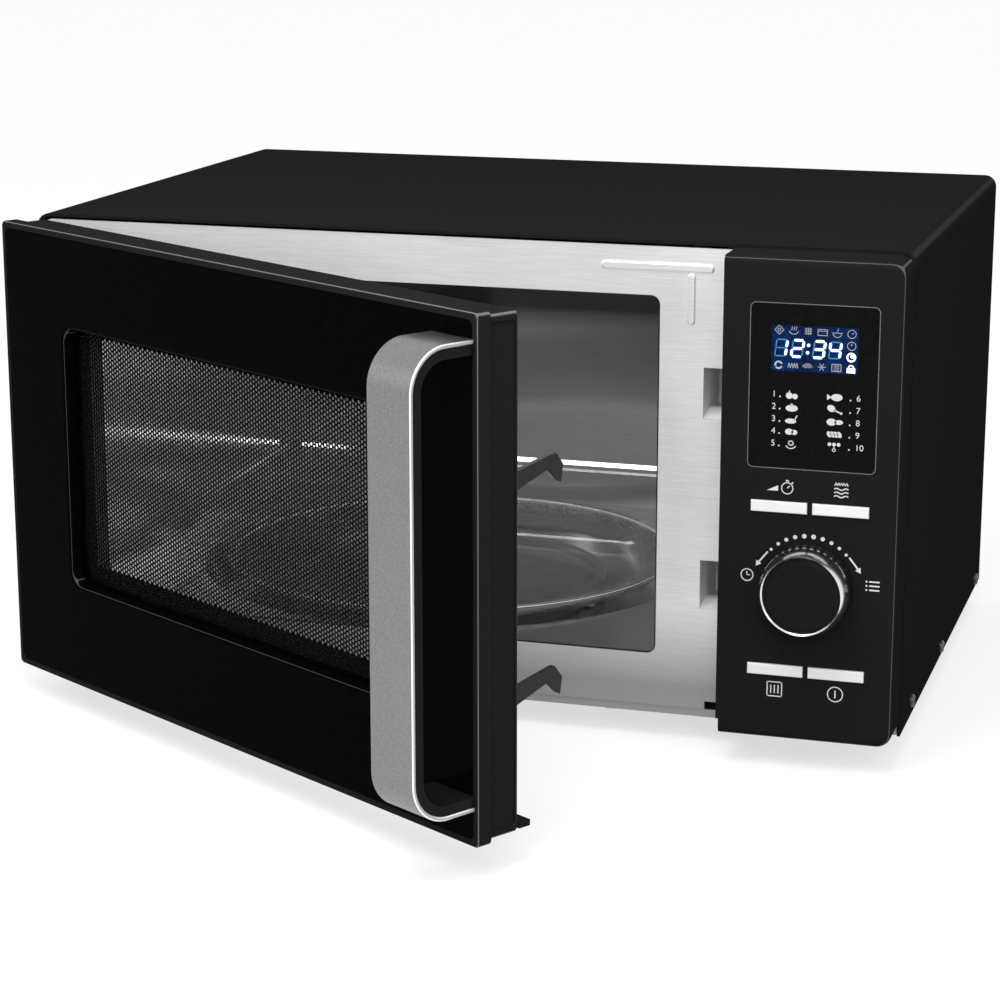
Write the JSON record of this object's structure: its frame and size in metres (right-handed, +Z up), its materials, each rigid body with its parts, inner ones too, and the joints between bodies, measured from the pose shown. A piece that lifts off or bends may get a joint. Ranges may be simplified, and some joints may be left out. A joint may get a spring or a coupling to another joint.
{
  "type": "countertop microwave oven",
  "caption": "Black countertop microwave oven with its side-hinged door ajar, bow handle, glass turntable and a control panel with display, buttons and knob.",
  "frame": {"origin": "on the table under the middle of the cabinet, in the plane of the feet's undersides", "axes": "+X to the right seen from the front, +Y to the back, +Z up"},
  "size_m": [0.4955, 0.5758, 0.268],
  "materials": {
    "black_paint": "satin",
    "front_steel": "brushed",
    "cavity_steel": "brushed",
    "zinc_steel": "plain",
    "screw_steel": "plain",
    "laminations": "varnished",
    "foot_rubber": "matt",
    "black_plastic": "fine grain",
    "gloss_black": "polished",
    "key_silver": "satin",
    "knob_chrome": "polished",
    "handle_metal": "brushed",
    "white_plastic": "plain",
    "grey_plastic": "plain",
    "smoked_glass": "polished",
    "clear_glass": "polished",
    "screen_black": "satin",
    "mica": "plain",
    "board_green": "plain",
    "heater_sheath": "oxidised"
  },
  "bodies": {
    "cabinet": {"outer_wrap": "black_paint", "base_plate": "zinc_steel", "feet": "foot_rubber", "back_plate": "black_paint", "case_screws": "screw_steel", "front_plate": "front_steel", "cavity_left_wall": "cavity_steel", "cavity_right_wall": "cavity_steel", "cavity_back_wall": "cavity_steel", "cavity_ceiling": "cavity_steel", "cavity_floor": "cavity_steel", "turntable_motor": "zinc_steel", "control_fascia": "black_plastic", "display_window": "smoked_glass", "display_module": "gloss_black", "control_board": "board_green", "key_switches": "black_plastic", "encoder_body": "zinc_steel", "latch_board": "grey_plastic", "door_switches": "black_plastic", "upper_hinge": "zinc_steel", "lower_hinge": "zinc_steel", "waveguide": "zinc_steel", "mica_cover": "mica", "magnetron": "zinc_steel", "transformer": "laminations", "capacitor": "zinc_steel", "diode": "black_plastic", "fan_shroud": "zinc_steel", "fan_motor": "laminations", "oven_lamp": "clear_glass", "lamp_holder": "white_plastic", "thermal_cutout": "zinc_steel", "grill_element": "heater_sheath", "cord_gland": "black_plastic"},
    "door": {"door_frame": "black_plastic", "door_panel": "gloss_black", "door_window": "smoked_glass", "door_screen": "screen_black", "inner_window": "clear_glass", "choke_cover": "black_plastic", "handle_band": "handle_metal", "handle_liner": "black_plastic", "latch_spring": "zinc_steel"},
    "latch": {"latch_bar": "black_plastic"},
    "upper_left_key": {"button_upper_left": "key_silver"},
    "upper_right_key": {"button_upper_right": "key_silver"},
    "lower_left_key": {"button_lower_left": "key_silver"},
    "lower_right_key": {"button_lower_right": "key_silver"},
    "knob": {"knob_cap": "gloss_black", "knob_ring": "knob_chrome", "encoder_shaft": "zinc_steel"},
    "turntable": {"turntable_coupler": "white_plastic", "turntable_shaft": "zinc_steel"},
    "tray": {"turntable_tray": "clear_glass"},
    "ring": {"roller_ring": "white_plastic"},
    "wheel_1": {"roller_1": "white_plastic"},
    "wheel_2": {"roller_2": "white_plastic"},
    "wheel_3": {"roller_3": "white_plastic"},
    "fan": {"fan_wheel": "black_plastic"}
  },
  "joints": [
    {"name": "door_swing", "type": "hinge", "parent": "cabinet", "child": "door", "pos_m": [-0.2355, -0.165, 0], "axis": [0, 0, -1], "range_deg": [-31, 59]},
    {"name": "latch_slide", "type": "slide", "parent": "door", "child": "latch", "axis": [0, 0, 1], "range_m": [0, 0.0045], "stiffness_N_per_m": 400, "springref_m": -0.005, "deforming": ["latch_spring"]},
    {"name": "upper_left_press", "type": "slide", "parent": "cabinet", "child": "upper_left_key", "axis": [0, 1, 0], "range_m": [0, 0.001], "stiffness_N_per_m": 400, "springref_m": -0.0005},
    {"name": "upper_right_press", "type": "slide", "parent": "cabinet", "child": "upper_right_key", "axis": [0, 1, 0], "range_m": [0, 0.001], "stiffness_N_per_m": 400, "springref_m": -0.0005},
    {"name": "lower_left_press", "type": "slide", "parent": "cabinet", "child": "lower_left_key", "axis": [0, 1, 0], "range_m": [0, 0.001], "stiffness_N_per_m": 400, "springref_m": -0.0005},
    {"name": "lower_right_press", "type": "slide", "parent": "cabinet", "child": "lower_right_key", "axis": [0, 1, 0], "range_m": [0, 0.001], "stiffness_N_per_m": 400, "springref_m": -0.0005},
    {"name": "knob_turn", "type": "hinge", "parent": "cabinet", "child": "knob", "pos_m": [0.196, 0, 0.0988], "axis": [0, 1, 0], "continuous": true},
    {"name": "turntable_spin", "type": "hinge", "parent": "cabinet", "child": "turntable", "pos_m": [-0.053, -0.00535, 0], "axis": [0, 0, 1], "continuous": true},
    {"name": "tray_lift", "type": "slide", "parent": "turntable", "child": "tray", "axis": [0, 0, 1], "range_m": [0, 0.04]},
    {"name": "ring_spin", "type": "hinge", "parent": "cabinet", "child": "ring", "pos_m": [-0.053, -0.00535, 0], "axis": [0, 0, 1], "continuous": true},
    {"name": "fan_spin", "type": "hinge", "parent": "cabinet", "child": "fan", "pos_m": [0.17575, 0, 0.2], "axis": [0, 1, 0], "continuous": true},
    {"name": "roller_1_spin", "type": "hinge", "parent": "ring", "child": "wheel_1", "pos_m": [-0.053, -0.00535, 0.0378], "axis": [0.9588, -0.284, 0], "continuous": true},
    {"name": "roller_2_spin", "type": "hinge", "parent": "ring", "child": "wheel_2", "pos_m": [-0.053, -0.00535, 0.0378], "axis": [-0.2334, 0.9724, 0], "continuous": true},
    {"name": "roller_3_spin", "type": "hinge", "parent": "ring", "child": "wheel_3", "pos_m": [-0.053, -0.00535, 0.0378], "axis": [-0.7254, -0.6884, 0], "continuous": true}
  ],
  "couplings": [
    {"joint": "ring_spin", "follows": "turntable_spin", "ratio": 0.5},
    {"joint": "roller_1_spin", "follows": "turntable_spin", "ratio": -7.9833},
    {"joint": "roller_2_spin", "follows": "turntable_spin", "ratio": -7.9833},
    {"joint": "roller_3_spin", "follows": "turntable_spin", "ratio": -7.9833}
  ]
}
